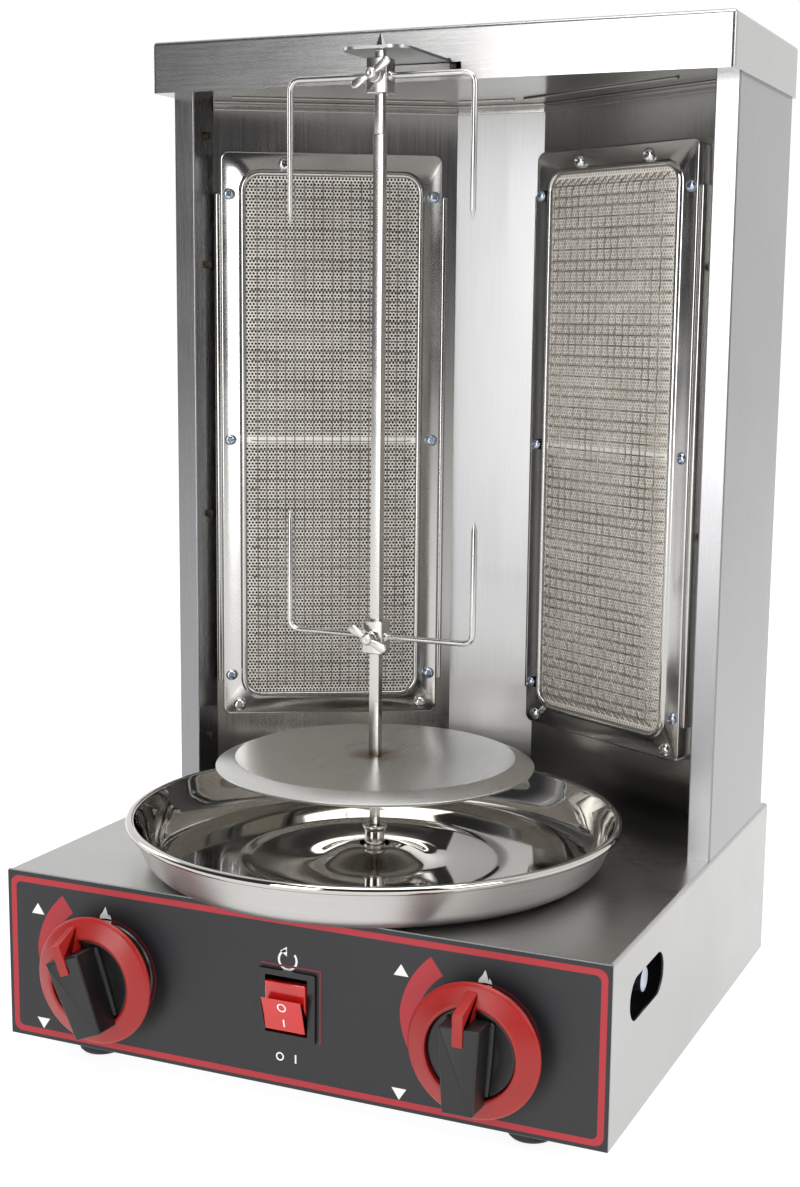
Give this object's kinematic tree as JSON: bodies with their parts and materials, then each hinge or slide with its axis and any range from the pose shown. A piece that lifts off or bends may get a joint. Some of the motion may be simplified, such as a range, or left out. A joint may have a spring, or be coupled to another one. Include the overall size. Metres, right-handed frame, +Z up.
{
  "type": "rotisserie oven",
  "caption": "Counter-top vertical gas rotisserie: low base with knobs and a rocker switch, angled burner column, turning spit with forks over a round drip pan.",
  "frame": {"origin": "on the floor under the middle of the bounding box", "axes": "+Z up, -Y to the front with the knobs, +X to the right seen from the front"},
  "size_m": [0.342, 0.3726, 0.5506],
  "materials": {
    "satin_stainless": "satin",
    "polished_stainless": "polished",
    "galvanised_steel": "dull",
    "panel_print": "satin",
    "black_rubber": "matte",
    "burner_ceramic": "matte",
    "guard_wire": "heat-darkened",
    "zinc_plate": "satin",
    "chrome_plate": "polished",
    "red_plastic": "semi-gloss",
    "black_plastic": "satin",
    "brass_turned": "turned",
    "tube_aluminium": "satin",
    "manifold_paint": "satin"
  },
  "bodies": {
    "housing": {"base_back": "satin_stainless", "base_shell": "satin_stainless", "bottom_plate": "satin_stainless", "burner_box_left": "galvanised_steel", "burner_box_right": "galvanised_steel", "burner_clamp_screws": "zinc_plate", "burner_frame_left": "polished_stainless", "burner_frame_right": "polished_stainless", "burner_frame_screws": "chrome_plate", "burner_tubes": "tube_aluminium", "burner_wall_left": "satin_stainless", "burner_wall_right": "satin_stainless", "casing_screws": "zinc_plate", "ceiling_plate": "satin_stainless", "ceramic_tiles_left": "burner_ceramic", "ceramic_tiles_right": "burner_ceramic", "column_back": "satin_stainless", "column_side_left": "satin_stainless", "column_side_right": "satin_stainless", "cord_gland": "black_plastic", "feed_tube": "tube_aluminium", "foot_screws": "zinc_plate", "front_panel": "galvanised_steel", "gas_inlet": "brass_turned", "gas_valves": "brass_turned", "gear_motor": "galvanised_steel", "guard_mesh_left": "guard_wire", "guard_mesh_right": "guard_wire", "injectors": "brass_turned", "knob_bezels": "chrome_plate", "manifold_pipe": "manifold_paint", "manifold_plugs": "zinc_plate", "motor_bracket": "galvanised_steel", "panel_overlay": "panel_print", "rear_wall": "satin_stainless", "return_screws": "zinc_plate", "rubber_feet": "black_rubber", "shaft_bush": "brass_turned", "spit_arm": "satin_stainless", "switch_housing": "black_plastic", "switch_tabs": "chrome_plate", "top_cap": "satin_stainless"},
    "pan": {"drip_pan": "polished_stainless"},
    "drive": {"drive_shaft": "polished_stainless", "drive_socket": "polished_stainless"},
    "spit": {"spit_rod": "polished_stainless", "meat_disc": "satin_stainless"},
    "fork_upper": {"fork_upper": "polished_stainless"},
    "fork_lower": {"fork_lower": "polished_stainless"},
    "wing_upper": {"wing_screw_upper": "chrome_plate"},
    "wing_lower": {"wing_screw_lower": "chrome_plate"},
    "plunger_left": {"valve_plunger_left": "brass_turned"},
    "plunger_right": {"valve_plunger_right": "brass_turned"},
    "knob_left": {"knob_ring_left": "red_plastic", "knob_grip_left": "black_plastic", "valve_stem_left": "brass_turned"},
    "knob_right": {"knob_ring_right": "red_plastic", "knob_grip_right": "black_plastic", "valve_stem_right": "brass_turned"},
    "rocker": {"switch_rocker": "red_plastic"}
  },
  "joints": [
    {"name": "pan_lift", "type": "slide", "parent": "housing", "child": "pan", "axis": [0, 0, 1], "range_m": [0, 0.035]},
    {"name": "drive_turn", "type": "hinge", "parent": "housing", "child": "drive", "pos_m": [0, -0.04805, 0.101], "axis": [0, 0, 1], "continuous": true},
    {"name": "spit_lift", "type": "slide", "parent": "drive", "child": "spit", "axis": [0, 0, 1], "range_m": [0, 0.0035]},
    {"name": "fork_upper_slide", "type": "slide", "parent": "spit", "child": "fork_upper", "axis": [0, 0, 1], "range_m": [-0.075, 0]},
    {"name": "fork_lower_slide", "type": "slide", "parent": "spit", "child": "fork_lower", "axis": [0, 0, 1], "range_m": [-0.045, 0.07]},
    {"name": "wing_upper_turn", "type": "hinge", "parent": "fork_upper", "child": "wing_upper", "pos_m": [0, -0.057, 0.518], "axis": [0, -1, 0], "range_deg": [0, 360]},
    {"name": "wing_lower_turn", "type": "hinge", "parent": "fork_lower", "child": "wing_lower", "pos_m": [0, -0.057, 0.226], "axis": [0, -1, 0], "range_deg": [0, 360]},
    {"name": "knob_left_push", "type": "slide", "parent": "housing", "child": "plunger_left", "axis": [0, 1, 0], "range_m": [0, 0.003], "stiffness_N_per_m": 1500, "springref_m": -0.002},
    {"name": "knob_left_turn", "type": "hinge", "parent": "plunger_left", "child": "knob_left", "pos_m": [-0.1067, -0.15075, 0.053], "axis": [0, -1, 0], "range_deg": [-22, 188]},
    {"name": "knob_right_push", "type": "slide", "parent": "housing", "child": "plunger_right", "axis": [0, 1, 0], "range_m": [0, 0.003], "stiffness_N_per_m": 1500, "springref_m": -0.002},
    {"name": "knob_right_turn", "type": "hinge", "parent": "plunger_right", "child": "knob_right", "pos_m": [0.1067, -0.15075, 0.053], "axis": [0, -1, 0], "range_deg": [0, 210]},
    {"name": "rocker_tilt", "type": "hinge", "parent": "housing", "child": "rocker", "pos_m": [0, -0.14295, 0.053], "axis": [1, 0, 0], "range_deg": [-31.8, 0]}
  ]
}
